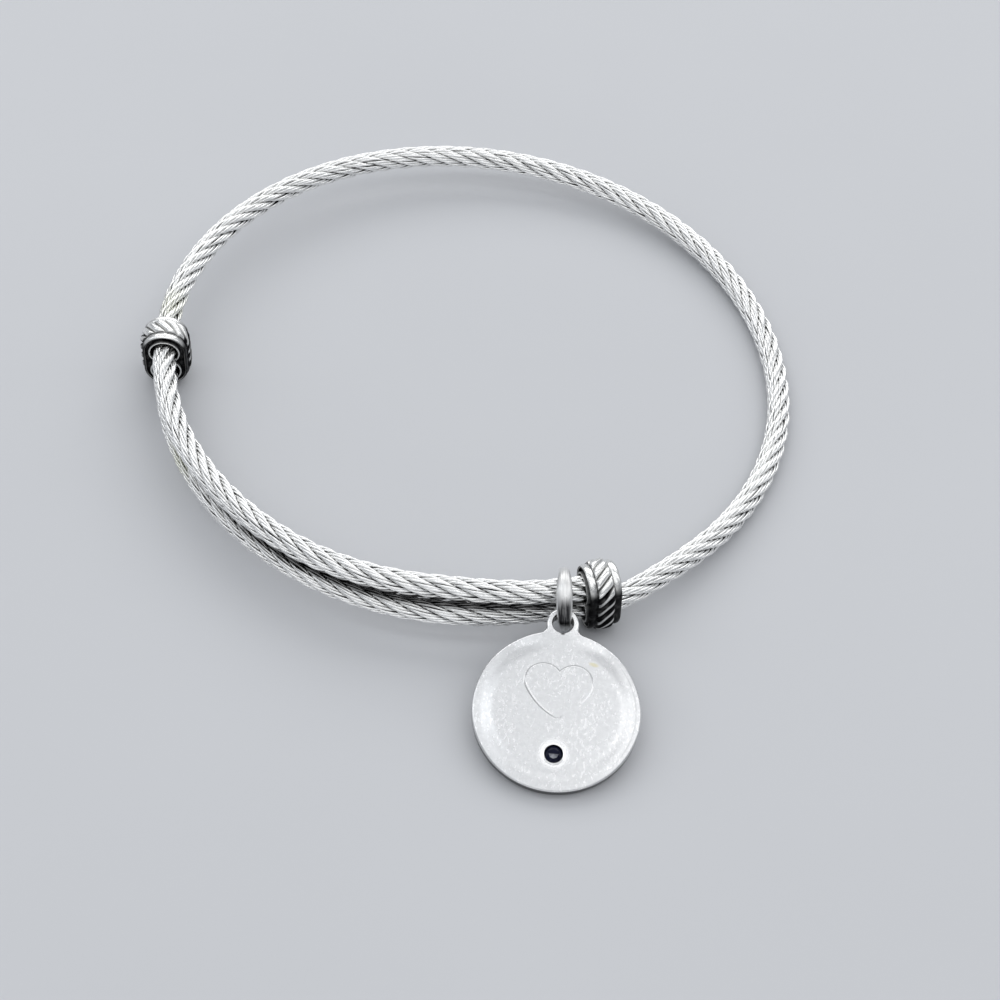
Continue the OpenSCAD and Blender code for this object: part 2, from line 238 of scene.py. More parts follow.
def stands_for(piece, node):
    """Puts a piece on the bangle's one body and hides the CAD node that it stands in for."""
    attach(piece, "root")
    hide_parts(node)


def paint(piece, name, values, domain="POINT"):
    """Keeps a number or a place for each vertex or face, for the material to read."""
    values = np.asarray(values, np.float32)
    kind, field = ("FLOAT_VECTOR", "vector") if values.ndim == 2 else ("FLOAT", "value")
    layer = piece.data.attributes.new(name, kind, domain)
    layer.data.foreach_set(field, values.ravel())


def tube_faces(rings, sides, start=0):
    """Quads between rings of points, and a cap at each end."""
    near = start + np.arange(rings * sides).reshape(rings, sides)
    beside = np.roll(near, -1, axis=1)
    quads = np.stack([near[:-1], beside[:-1], beside[1:], near[1:]], axis=-1)
    return quads.reshape(-1, 4).tolist() + [near[0, ::-1].tolist(), near[-1].tolist()]


def closed_faces(rows, sides):
    """Quads of a skin that closes on itself, both from row to row and round each row."""
    near = np.arange(rows * sides).reshape(rows, sides)
    beside = np.roll(near, -1, axis=1)
    quads = np.stack([near, np.roll(near, -1, axis=0), np.roll(beside, -1, axis=0), beside], axis=-1)
    return quads.reshape(-1, 4).tolist()


def placing(middle, x, y, z):
    """Matrix that carries local millimetres to the bangle's."""
    place = np.eye(4)
    place[:3, 0], place[:3, 1], place[:3, 2], place[:3, 3] = x, y, z, middle
    return place


def share(value, low, high):
    """0 at low, 1 at high, with an even change."""
    return np.clip((value - low) / (high - low), 0, 1)


def soft_step(value, low, high):
    """0 at low, 1 at high, with a soft change."""
    u = share(value, low, high)
    return u * u * (3 - 2 * u)


def circle_points(middle, radius, turns):
    """Points of a circle at the given turns."""
    return np.asarray(middle) + radius * np.stack([np.cos(turns), np.sin(turns)], axis=1)


def circle(middle, radius, count):
    """Evenly spaced points of a circle."""
    return circle_points(middle, radius, 2 * math.pi * np.arange(count) / count)


def oblong_path(steps, radius, straight):
    """Points round an oblong, the outward direction at each, and the length up to each."""
    half_arc, total = math.pi * radius, 2 * (math.pi * radius + straight)
    lengths = total * np.arange(steps) / steps
    half, rest = np.divmod(lengths, half_arc + straight)
    sign = (1 - 2 * half)[:, None]
    outward = turned(np.minimum(rest, half_arc) / radius, np.array([1.0, 0, 0]), np.array([0, 1.0, 0]))
    points = radius * outward
    points[:, 1] += straight / 2 - np.maximum(rest - half_arc, 0)
    return sign * points, sign * outward, lengths


# Shader groups


def feed(tree, socket, value):
    """Sets an input socket to a constant, or links it to another node's output."""
    if isinstance(value, bpy.types.NodeSocket):
        tree.links.new(value, socket)
    else:
        socket.default_value = value


# Kind of a socket by how many numbers its value has
SOCKET_KINDS = {1: "NodeSocketFloat", 3: "NodeSocketVector", 4: "NodeSocketColor"}


def new_group(name, inputs, outputs):
    """A shader node group with named sockets, and its two end nodes."""
    group = bpy.data.node_groups.new(name, "ShaderNodeTree")
    for way, sockets in (("INPUT", inputs), ("OUTPUT", outputs)):
        for label, value in sockets.items():
            kind = SOCKET_KINDS[np.size(value)]
            socket = group.interface.new_socket(label, in_out=way, socket_type=kind)
            socket.default_value = value
    return group, group.nodes.new("NodeGroupInput"), group.nodes.new("NodeGroupOutput")


def put_node(tree, kind, given, output=0, **settings):
    """A node with its settings made and its inputs linked or set, of which one output is wanted."""
    node = tree.nodes.new(kind)
    for name, value in settings.items():
        setattr(node, name, value)
    for label, value in given.items():
        feed(tree, node.inputs[label], value)
    return node.outputs[output]


def math_node(tree, operation, *values, clamp=False):
    """A Math node between sockets or plain numbers."""
    return put_node(tree, "ShaderNodeMath", dict(enumerate(values)), operation=operation, use_clamp=clamp)


def ramp(tree, value, low, high):
    """0 where value is at low and 1 where it is at high, with a soft change."""
    given = {"Value": value, "From Min": low, "From Max": high}
    return put_node(tree, "ShaderNodeMapRange", given, "Result", interpolation_type="SMOOTHSTEP")


def mix_colour(tree, part, first, second):
    """First colour where part is 0 and second where it is 1."""
    # Several of its sockets have the same name, so they are taken by number
    return put_node(tree, "ShaderNodeMix", {0: part, 6: first, 7: second}, 2, data_type="RGBA")


def noise(tree, where, scale, detail=3.0, roughness=0.55):
    """Cloudy noise about 0.5, at a scale for one unit of the coordinates."""
    given = {"Vector": where, "Scale": scale, "Detail": detail, "Roughness": roughness}
    return put_node(tree, "ShaderNodeTexNoise", given, "Fac")


def stretched(tree, where, by):
    """Coordinates multiplied by a different amount each way."""
    return put_node(tree, "ShaderNodeVectorMath", {0: where, 1: by}, operation="MULTIPLY")


def oxide_and_shade_group():
    """Bright metal turned dark by painted shade, oxide and dirt, as far as its input asks."""
    group, start, end = new_group("Oxide film", {
        "Where": (0.0, 0.0, 0.0), "Shade, oxide and dirt": 0.0, "Bright": (0.8, 0.8, 0.8, 1.0),
        "Dark": (0.02, 0.02, 0.02, 1.0), "Patch scale": 3.0, "Patchiness": 0.3,
    }, {"Color": (0.8, 0.8, 0.8, 1.0), "Film": 0.0})
    given = start.outputs
    cloud = noise(group, given["Where"], given["Patch scale"], detail=4.0, roughness=0.5)
    drift = math_node(group, "MULTIPLY", math_node(group, "SUBTRACT", cloud, 0.5), given["Patchiness"])
    film_and_shade = math_node(group, "ADD", given["Shade, oxide and dirt"], drift, clamp=True)
    feed(group, end.inputs["Color"], mix_colour(group, film_and_shade, given["Bright"], given["Dark"]))
    feed(group, end.inputs["Film"], film_and_shade)
    return group


def grain_group():
    """Fine marks drawn out along one direction, as drawing, brushing or rubbing leaves them."""
    group, start, end = new_group("Drawn grain", {
        "Where": (0.0, 0.0, 0.0), "Stretch": (1.0, 1.0, 1.0), "Fineness": 10.0,
    }, {"Height": 0.0, "Streak": 0.0})
    pulled = stretched(group, start.outputs["Where"], start.outputs["Stretch"])
    fine = noise(group, pulled, start.outputs["Fineness"], detail=5.0, roughness=0.65)
    feed(group, end.inputs["Height"], fine)
    feed(group, end.inputs["Streak"], ramp(group, fine, 0.36, 0.64))
    return group


def scuff_group():
    """Small bright specks and short rubs, denser in patches."""
    group, start, end = new_group("Scuffs", {
        "Where": (0.0, 0.0, 0.0), "Speck scale": 4.0, "Amount": 0.5,
    }, {"Mask": 0.0})
    given = start.outputs
    speck = noise(group, given["Where"], given["Speck scale"], detail=2.0, roughness=0.5)
    patch = math_node(group, "SUBTRACT", noise(group, given["Where"], scale=0.33, detail=2.0), 0.5)
    raised = math_node(group, "ADD", speck, math_node(group, "MULTIPLY", patch, 0.35))
    mask = math_node(group, "MULTIPLY", ramp(group, raised, 0.53, 0.70), given["Amount"])
    feed(group, end.inputs["Mask"], mask)
    return group


OXIDE_AND_SHADE, GRAIN, SCUFF = oxide_and_shade_group(), grain_group(), scuff_group()


# Materials


METAL = {"Metallic": 1.0}


def new_finish(name, given):
    """A material and its tree, with some of its shader's sockets set."""
    material = bpy.data.materials.new(name)
    material.use_nodes = True
    for label, value in given.items():
        material.node_tree.nodes["Principled BSDF"].inputs[label].default_value = value
    return material, material.node_tree


def kept(tree, name, output="Fac"):
    """A value that the mesh keeps, or with output "Vector" a place."""
    return put_node(tree, "ShaderNodeAttribute", {}, output, attribute_name=name)


def put_group(tree, group, given):
    """Places a shader group, with its named sockets linked or set."""
    node = tree.nodes.new("ShaderNodeGroup")
    node.node_tree = group
    for label, value in given.items():
        feed(tree, node.inputs[label], value)
    return node


def scaled(tree, value, by, least):
    """A value times a factor, added to a least value."""
    return math_node(tree, "MULTIPLY_ADD", value, by, least)


def surface(material, colour, roughness, relief=None, depth=0.0):
    """Finishes a material with its colour, roughness and a relief with a real depth in millimetres."""
    tree = material.node_tree
    shader = tree.nodes["Principled BSDF"]
    feed(tree, shader.inputs["Base Color"], colour)
    feed(tree, shader.inputs["Roughness"], roughness)
    if relief is not None:
        bump = put_node(tree, "ShaderNodeBump", {"Height": relief, "Distance": depth * MM})
        feed(tree, shader.inputs["Normal"], bump)
    return material


def wire_material():
    """Bright drawn wire with painted shade down in its grooves, underneath and between the runs, and a little
    tarnished in two places.
    """
    material, tree = new_finish("Drawn steel wire", METAL)
    where = kept(tree, "wire_place", "Vector")
    # The dark colour here is painted shade, laid on where the mesh's painted shade value asks for it
    film_and_shade = put_group(tree, OXIDE_AND_SHADE, {
        "Where": where, "Shade, oxide and dirt": kept(tree, "painted_shade_and_film"), "Bright": (0.95, 0.95, 0.94, 1),
        "Dark": (0.025, 0.023, 0.022, 1), "Patch scale": 0.9, "Patchiness": 0.4})
    colour = mix_colour(tree, kept(tree, "tarnish"), film_and_shade.outputs["Color"], (0.60, 0.61, 0.46, 1))
    grain = put_group(tree, GRAIN, {"Where": where, "Stretch": (0.25, 3.0, 3.0), "Fineness": 4.0})
    roughness = scaled(tree, grain.outputs["Streak"], by=0.10, least=0.18)
    return surface(material, colour, roughness, grain.outputs["Height"], depth=0.004)


def bead_material():
    """Oxidised silver: black in the recesses, bright with wear on the crowns and rims, and with painted shade
    darkening its lower part.
    """
    material, tree = new_finish("Oxidised silver", METAL)
    where = kept(tree, "bead_place", "Vector")
    film_and_shade = put_group(tree, OXIDE_AND_SHADE, {
        "Where": where, "Shade, oxide and dirt": kept(tree, "painted_shade_and_film"), "Bright": (0.94, 0.94, 0.92, 1),
        "Dark": (0.010, 0.010, 0.011, 1), "Patch scale": 1.6, "Patchiness": 0.32})
    grain = put_group(tree, GRAIN, {"Where": where, "Stretch": (1, 1, 1), "Fineness": 7.0})
    roughness = scaled(tree, film_and_shade.outputs["Film"], by=0.30, least=0.20)
    return surface(material, film_and_shade.outputs["Color"], roughness, grain.outputs["Height"], depth=0.02)


def ring_material():
    """Silver brushed lengthwise, with a painted dark reflection, broken by streaks, on its lower front."""
    material, tree = new_finish("Brushed silver ring", METAL)
    where = kept(tree, "band_place", "Vector")
    grain = put_group(tree, GRAIN, {"Where": where, "Stretch": (0.22, 5.0, 5.0), "Fineness": 2.4})
    streak = grain.outputs["Streak"]
    scuff = put_group(tree, SCUFF, {"Where": where, "Speck scale": 3.0, "Amount": 0.5})
    shade = math_node(tree, "SUBTRACT", math_node(tree, "MULTIPLY", streak, 0.55),
                      scuff.outputs["Mask"], clamp=True)
    bright = mix_colour(tree, shade, (0.90, 0.90, 0.89, 1), (0.66, 0.66, 0.65, 1))
    # Painted dark reflection on the lower front, broken by the grain's streaks; the dark colour below is its
    # colour
    dirt_and_shade = math_node(tree, "MULTIPLY", scaled(tree, streak, by=0.5, least=0.85), kept(tree, "painted_shade_and_film"))
    film_and_shade = put_group(tree, OXIDE_AND_SHADE, {
        "Where": where, "Shade, oxide and dirt": dirt_and_shade, "Bright": bright,
        "Dark": (0.03, 0.03, 0.032, 1), "Patch scale": 2.0, "Patchiness": 0.0})
    roughness = scaled(tree, streak, by=0.14, least=0.37)
    return surface(material, film_and_shade.outputs["Color"], roughness, grain.outputs["Height"], depth=0.012)


def spot(tree, where, middle, half_size, turn=0.0):
    """A soft spot, 1 at its middle and 0 outside a half size in each direction."""
    given = {"Vector": where, "Location": (*middle, 0.0), "Rotation": (0.0, 0.0, math.radians(turn)),
             "Scale": (*half_size, 10.0)}
    place = put_node(tree, "ShaderNodeMapping", given, vector_type="TEXTURE")
    length = put_node(tree, "ShaderNodeVectorMath", {0: place}, "Value", operation="LENGTH")
    return ramp(tree, math_node(tree, "SUBTRACT", 1.0, length), 0.0, 0.7)


def edge_shadow_line(tree, where, radius=7.18, film_and_shade=0.16):
    """A faint painted shadow line just inside the plate's right edge."""
    x, y = (put_node(tree, "ShaderNodeSeparateXYZ", {0: where}, way) for way in ("X", "Y"))
    squares = (math_node(tree, "MULTIPLY", x, x), math_node(tree, "MULTIPLY", y, y))
    from_middle = math_node(tree, "POWER", math_node(tree, "ADD", *squares), 0.5)
    off_line = math_node(tree, "ABSOLUTE", math_node(tree, "SUBTRACT", from_middle, radius))
    line = math_node(tree, "SUBTRACT", 1.0, ramp(tree, off_line, 0.02, 0.10))
    on_right = ramp(tree, x, 4.6, 6.6)
    return math_node(tree, "MULTIPLY", math_node(tree, "MULTIPLY", line, on_right), film_and_shade)


def charm_material():
    """Satin silver, scuffed and mottled, with dirt in the engraved line and a faint stain, painted shade on
    the rim's wall, in the eyelet's hole and along the right edge, and painted sheen beside the line.
    """
    material, tree = new_finish("Satin silver charm", METAL)
    where = kept(tree, "charm_place", "Vector")
    cloud = ramp(tree, noise(tree, where, scale=2.6, detail=5.0, roughness=0.7), 0.38, 0.62)
    scuff = put_group(tree, SCUFF, {
        "Where": stretched(tree, where, (1.5, 0.8, 1.0)), "Speck scale": 3.4, "Amount": 0.52})
    # Wear and painted sheen from the mesh, with the scuffs, make the metal brighter
    scuffs_and_sheen = math_node(tree, "MAXIMUM", scuff.outputs["Mask"], kept(tree, "wear_and_sheen"))
    plain = mix_colour(tree, cloud, (0.69, 0.695, 0.70, 1), (0.74, 0.745, 0.75, 1))
    wear_and_sheen = mix_colour(tree, scuffs_and_sheen, plain, (0.93, 0.93, 0.93, 1))
    stain = spot(tree, where, middle=(3.08, 4.59), half_size=(0.62, 0.26), turn=-14)
    stained = mix_colour(tree, stain, wear_and_sheen, (0.70, 0.67, 0.50, 1))
    # A small dark spot just below the eyelet's hole
    dark_spot = spot(tree, where, middle=(0.05, EYE_Y - EYE_R - 0.06), half_size=(0.30, 0.22))
    dirt_and_shade = math_node(tree, "MAXIMUM", math_node(tree, "MULTIPLY", dark_spot, 0.9),
                     math_node(tree, "MAXIMUM", kept(tree, "painted_shade_and_film"), edge_shadow_line(tree, where)))
    film_and_shade = put_group(tree, OXIDE_AND_SHADE, {
        "Where": where, "Shade, oxide and dirt": dirt_and_shade, "Bright": stained,
        "Dark": (0.05, 0.05, 0.05, 1), "Patch scale": 1.3, "Patchiness": 0.0})
    grain = put_group(tree, GRAIN, {"Where": where, "Stretch": (1, 1, 1), "Fineness": 6.0})
    roughness = scaled(tree, scuffs_and_sheen, by=-0.06, least=0.29)
    return surface(material, film_and_shade.outputs["Color"], roughness, grain.outputs["Height"], depth=0.006)


def stone_material():
    """Dark blue-black stone, cut and polished, with painted reflections on some facets of its table."""
    material, tree = new_finish("Dark cut stone", {"IOR": 1.5, "Specular IOR Level": 0.15})
    cloud = noise(tree, put_node(tree, "ShaderNodeNewGeometry", {}, "Position"), scale=900.0, detail=2.0)
    deep = mix_colour(tree, ramp(tree, cloud, 0.3, 0.7),
                      (0.003, 0.004, 0.014, 1), (0.008, 0.010, 0.028, 1))
    colour = mix_colour(tree, kept(tree, "painted_flash"), deep, (0.30, 0.31, 0.34, 1))
    return surface(material, colour, scaled(tree, cloud, by=0.06, least=0.03))


def floor_material():
    """Plain pale matt paper."""
    material, tree = new_finish("Pale paper", {})
    tone = noise(tree, put_node(tree, "ShaderNodeNewGeometry", {}, "Position"), scale=14.0)
    colour = mix_colour(tree, tone, (0.59, 0.60, 0.62, 1), (0.63, 0.64, 0.66, 1))
    return surface(material, colour, 0.9)


# Cable: six strands of six drawn wires each

WIRE_INSET = 0.006
# Unevenness of the wires: usual length of a wave, and its size in radians of roll or in lift
ROLL_WAVES = (19.0, 0.16)
LIFT_WAVES = (7.0, 0.010)
# Depths below the outside at which painted shade begins and is full, in the rope's and in a strand's grooves
ROPE_GROOVE = (0.22, 0.62)
STRAND_GROOVE = (0.09, 0.22)
# Strength of the painted shade in the grooves, on the cable's top and underneath, and how much of it is
# lifted all over
GROOVE_SHADE = (1.2, 1.8)
SHADE_LIFTED_ALL_OVER = 0.10
# How far the painted shade is lifted on the top, where the light falls: where two runs lie together, and
# where the cable lies alone
TOP_LIT = (0.50, 0.84)
# Painted shade in the parting between the runs: on its left and on its right, and the lower run's share of it
PARTING_SHADE = (0.15, 1.25)
LOWER_SHARE = 0.75
# Tarnished places: plan angle, reach, strength
TARNISHED_AT = ((LEFT_AT + 352, 4.0, 0.35), (LEFT_AT + 26, 3.5, 0.45))


def slow_drift(rng, length, reach, size):
    """A smooth wandering value along a wire, with waves of about the given reach."""
    waves = [(rng.uniform(0.6, 1.6) * reach, rng.uniform(0, 2 * math.pi)) for _ in range(4)]
    return size / 2 * sum(np.sin(2 * math.pi * length / wave + start) for wave, start in waves)


def towards_other_run(angles):
    """Direction from each place on the cable to the run beside it, or nothing on the single stretch."""
    over = angles > LEFT_AT + 360 - END_REACH
    under = angles < RIGHT_AT + END_REACH
    sign = np.where(over, -1.0, np.where(under, 1.0, 0.0))
    return sign[:, None] * lean_side(np.where(over, angles - 360, np.minimum(angles, RIGHT_AT + 10)))


def cable_painted_shade(angles):
    """How far the painted shade is lifted on the cable's top, and how much painted shade its side towards the
    other run gets.
    """
    single = soft_step(angles, RIGHT_AT, RIGHT_AT + 8) * (1 - soft_step(angles, LEFT_AT + 362, LEFT_AT + 380))
    over = angles > LEFT_AT + 360
    to_right = soft_step(np.where(over, angles - 360, angles) - LEFT_AT, 30, 58)
    return blend(*TOP_LIT, single), blend(*PARTING_SHADE, to_right) * np.where(over, 1.0, LOWER_SHARE)


def strand(number, material):
    """One strand of the rope: wires laid against the direction in which the strand is laid."""
    rng = np.random.default_rng(100 + number)
    rope_r, strand_r, wire_r = CABLE_D / 2, CABLE_D / 6, CABLE_D / 18
    rings = int((CABLE_TO - CABLE_FROM) / TURN_PER_MM / WIRE_STEP)
    angles = np.linspace(CABLE_FROM, CABLE_TO, rings)
    length = (angles - CABLE_FROM) / TURN_PER_MM
    middle = cable_at(angles)
    way = unit(np.gradient(middle, axis=0))
    side = unit(np.cross(way, UP))
    spin = 2 * math.pi * (length / LAY + (number + 0.5) / STRANDS)
    out = turned(spin, side, np.cross(way, side))
    strand_middle = middle + 2 * strand_r * out
    across = unit(np.cross(np.gradient(strand_middle, axis=0), out))
    corner = 2 * math.pi * np.arange(WIRE_SIDES) / WIRE_SIDES
    beside_run = towards_other_run(angles)
    top_lit_share, parting = cable_painted_shade(angles)
    tarnish = sum(size * np.exp(-((angles - at) / reach) ** 2) for at, reach, size in TARNISHED_AT)
    points, faces, painted_shade_and_film, places = [], [], [], []
    for wire in range(WIRES):
        roll = 2 * math.pi * (wire / WIRES - length / WIRE_LAY) + slow_drift(rng, length, *ROLL_WAVES)
        lift = turned(roll, out, across)
        reach = strand_r - wire_r - WIRE_INSET + slow_drift(rng, length, *LIFT_WAVES)
        line = strand_middle + reach[:, None] * lift
        beside = unit(np.cross(np.gradient(line, axis=0), lift))
        ring = line[:, None] + wire_r * turned(corner, lift[:, None], beside[:, None])
        from_middle = ring - middle[:, None]
        in_rope = rope_r - np.linalg.norm(from_middle, axis=2)
        in_strand = strand_r - np.linalg.norm(ring - strand_middle[:, None], axis=2)
        # Painted shade: darker down in the grooves and more so underneath, lifted on the top, and darker on
        # the side that faces the other run
        groove = share(in_rope, *ROPE_GROOVE) + share(in_strand, *STRAND_GROOVE)
        height = from_middle[..., 2] / rope_r
        lit_top = top_lit_share[:, None] * soft_step(height, -0.15, 0.75)
        facing = (from_middle * beside_run[:, None]).sum(axis=2) / rope_r
        film_and_shade = groove * (blend(*GROOVE_SHADE, np.clip(-height, 0, 1)) - lit_top) - SHADE_LIFTED_ALL_OVER
        painted_shade_and_film.append(film_and_shade + parting[:, None] * soft_step(facing, 0.46, 0.84))
        places.append(np.stack(np.broadcast_arrays(length[:, None] + 40 * wire,
                                                   corner[None, :] * wire_r + number,
                                                   np.full((1, 1), 2.0 * wire)), axis=-1))
        faces += tube_faces(rings, WIRE_SIDES, len(points) * rings * WIRE_SIDES)
        points.append(ring)
    piece = new_piece(f"cable_strand_{number + 1}", np.concatenate(points).reshape(-1, 3), faces, material)
    paint(piece, "painted_shade_and_film", np.clip(np.concatenate(painted_shade_and_film).ravel(), 0, 1))
    paint(piece, "tarnish", np.tile(np.repeat(tarnish, WIRE_SIDES), WIRES))
    paint(piece, "wire_place", np.concatenate(places).reshape(-1, 3))
    stands_for(piece, "cable")


# Beads: cast silver, a rope of slanted ridges between two round rims

BEAD_STEPS = 24 * RIDGES
RIM_HALF = 0.39
RIM_DROP = 0.22
RIM_Z = BEAD_LEN / 2 - RIM_HALF
RIM_ROWS = 14
ROPE_END = 0.87
ROPE_ROWS_TO = 0.76
ROPE_ROWS = 33
VALLEY_R = RIM_W / 2 - 0.17
RIDGE_R = BEAD_W / 2 - 0.15
RIDGE_SWAY = 0.05
MELT = 0.03
# Heights above the bead's middle between which the painted shade of its lower part gives way to bright metal
LIT_FROM = 1.7
LIT_TO = 3.1
# Low down and high up: how far from a crest the valley's oxide begins, and how strong it is; the extra
# strength low down is painted shade
VALLEY_FROM = (0.16, 0.66)
VALLEY_FILM_AND_SHADE = (1.0, 0.5)
# Painted shade on the crests low down
CREST_SHADE = 0.25


def on_runs(angle):
    """Place of a bead: X flat, Y from the lower run to the upper one, Z along the cable."""
    low = first_run(angle)
    high = low + SPACING * lean_side(angle)
    up = unit(high - low)
    flat = unit(np.cross(up, cable_way(angle)))
    return placing((low + high) / 2, flat, up, np.cross(flat, up))


def end_rows(bore):
    """Rows of the skin from the bore round the lip and channel: reach, place along the cable, film."""
    face, end = BEAD_LEN / 2, BEAD_LEN / 2 + LIP_OUT
    lip = np.minimum(bore + LIP_WALL, LIP_W / 2)
    channel = LIP_W / 2 + RECESS_W + 0 * bore
    floor, soft = face - RECESS_DEPTH, 0.045
    return [(bore, 0.0, 1.0), (bore, floor, 1.0), (bore, end - soft, 0.8), (bore + soft, end, 0.15),
            (lip - soft, end, 0.15), (lip, end - soft, 0.85), (lip, floor + soft, 1.0),
            (lip + soft, floor, 1.0), (channel - soft, floor, 1.0), (channel, floor + soft, 1.0),
            (channel, face - 0.10, 0.95), (channel + 0.015, face - 0.04, 0.4)]


def outer_rows(spine, outward, lengths, rng):
    """Rows of the skin over the rims and ridges, dark with oxide in the valleys and bright on the crests,
    with painted shade over the lower part.
    """
    pitch = (lengths[-1] + lengths[1]) / RIDGES
    sway = RIDGE_SWAY * np.sin(6 * math.pi * lengths / (RIDGES * pitch) + rng.uniform(0, 6))
    rim_z = RIM_Z + RIM_HALF * np.sin(np.radians(np.linspace(90, -80, RIM_ROWS)))
    rope_z = np.linspace(ROPE_ROWS_TO, -ROPE_ROWS_TO, ROPE_ROWS)
    rows = []
    for z in np.concatenate([rim_z, rope_z, -rim_z[::-1]]):
        off = min(abs(abs(z) - RIM_Z) / RIM_HALF, 1.0)
        rim = RIM_W / 2 - RIM_DROP * (1 - math.sqrt(1 - off**2))
        phase = (lengths + z * math.tan(math.radians(RIDGE_SLANT))) / pitch + sway
        valley = 2 * np.abs(phase - np.round(phase))
        taper = math.sqrt(max(0.0, 1 - (abs(z) / ROPE_END) ** 5))
        rope = VALLEY_R + (BEAD_W / 2 - VALLEY_R) * (1 - valley**2.3) ** 0.55 * taper
        reach = (rim + rope + np.sqrt((rim - rope) ** 2 + MELT**2)) / 2
        # Painted shade: below high, the valleys, the crests and the rims are made darker
        high = soft_step(spine[:, 1] + reach * outward[:, 1], LIT_FROM, LIT_TO)
        crest = blend(*VALLEY_FROM, high)
        in_valley = soft_step(valley, crest, crest + 0.3) * blend(*VALLEY_FILM_AND_SHADE, high)
        on_rope = np.maximum(in_valley, soft_step(abs(z), 0.73, 0.84)) + CREST_SHADE * (1 - high)
        on_rim = soft_step(0.92 - abs(z), 0.0, 0.12) + 1 - high
        rows.append((reach, z, np.clip(np.where(rope > rim, on_rope, on_rim), 0, 1)))
    return rows


def end_cap(open_side, blind_from):
    """The closed end of the fixed run's bore, hollowed where the open bore passes beside it."""
    radius = BORE_D / 2
    meet = math.acos(SPACING / 2 / radius)
    own, other = np.linspace(meet, 2 * math.pi - meet, 60), np.linspace(math.pi + meet, math.pi - meet, 14)
    flat = np.concatenate([circle_points((0, 0), radius, own),
                           circle_points((SPACING, 0), radius, other[1:-1])])
    flat = np.stack([-open_side * flat[:, 1], open_side * (flat[:, 0] - SPACING / 2)], axis=1)
    ends = sorted(-blind_from * z for z in (BEAD_LEN / 2 - END_CAP, BEAD_LEN / 2 + LIP_OUT - 0.04))
    points = np.concatenate([np.column_stack([flat, np.full(len(flat), z)]) for z in ends])
    return points, tube_faces(2, len(flat))


def cast_bead(node, angle, open_side, blind_from, material):
    """Bead as one closed skin, from its bores over the lips, channels, rims and ridges."""
    path, outward, lengths = oblong_path(BEAD_STEPS, RIDGE_R, SPACING)
    spine = path - RIDGE_R * outward
    bore = np.sqrt((BORE_D / 2) ** 2 - (SPACING / 2 - np.abs(spine[:, 1])) ** 2)
    ends = end_rows(bore)
    rows = ends + outer_rows(spine, outward, lengths, np.random.default_rng(int(angle)))
    rows += [(reach, -z, film_and_shade) for reach, z, film_and_shade in ends[:0:-1]]
    skin = np.stack([spine + reach[:, None] * outward + z * UP for reach, z, _ in rows])
    film_and_shade = np.stack([np.broadcast_to(row[2], BEAD_STEPS) for row in rows])
    cap, cap_faces = end_cap(open_side, blind_from)
    faces = closed_faces(len(rows), BEAD_STEPS)
    faces += [[k + len(rows) * BEAD_STEPS for k in face] for face in cap_faces]
    local = np.concatenate([skin.reshape(-1, 3), cap])
    piece = new_piece(node + "_cast", local, faces, material, place=on_runs(angle))
    piece.data.set_sharp_from_angle(angle=math.radians(55))
    paint(piece, "painted_shade_and_film", np.concatenate([film_and_shade.ravel(), np.full(len(cap), 0.75)]))
    paint(piece, "bead_place", local)
    stands_for(piece, node)


# Jump ring: flattened wire, slung round both runs


def ring_place():
    """Place of the ring: X its short side, Y its long side to the front, Z its axis."""
    axis = turned(math.radians(RING_TILT), level(RING_FACING), UP)
    back = unit(np.cross(UP, axis))
    rise = np.cross(axis, back)
    roll = math.radians(RING_ROLL)
    short, long = turned(roll, rise, back), turned(roll, -back, rise)
    at = RIGHT_AT - (BEAD_LEN / 2 + RING_TO_BEAD + BAND_W / 2) * TURN_PER_MM
    low = first_run(at)
    high = low + SPACING * lean_side(at)
    middle = (low + high) / 2 + RING_FORWARD * long
    crossing = float(cable_way(at) @ axis)
    half = abs(float((high - low) @ short)) / 2 + CABLE_D / 2 / crossing + RING_GAP
    return placing(middle, short, long, axis), half + BAND_T / 2, back


RING_PLACE, BAND_MID_R, RING_BACK = ring_place()
RING_STEPS = 220
BAND_SIDES = 40
# Fullness of the band's section, where 2 is an ellipse, and how late it narrows towards its sides
BAND_FULLNESS = 2.25
NARROWING = 2.6
# Turns along the band, from its back over its top to its front, between which a painted dark reflection comes
# and goes
DARK_REFLECTION_COMES = (80, 112)
DARK_REFLECTION_GOES = (138, 150)
# A darker place on its top: turn, reach and how much darker
DARKER_AT, DARKER_REACH, DARKER_BY = 46, 18, 0.22


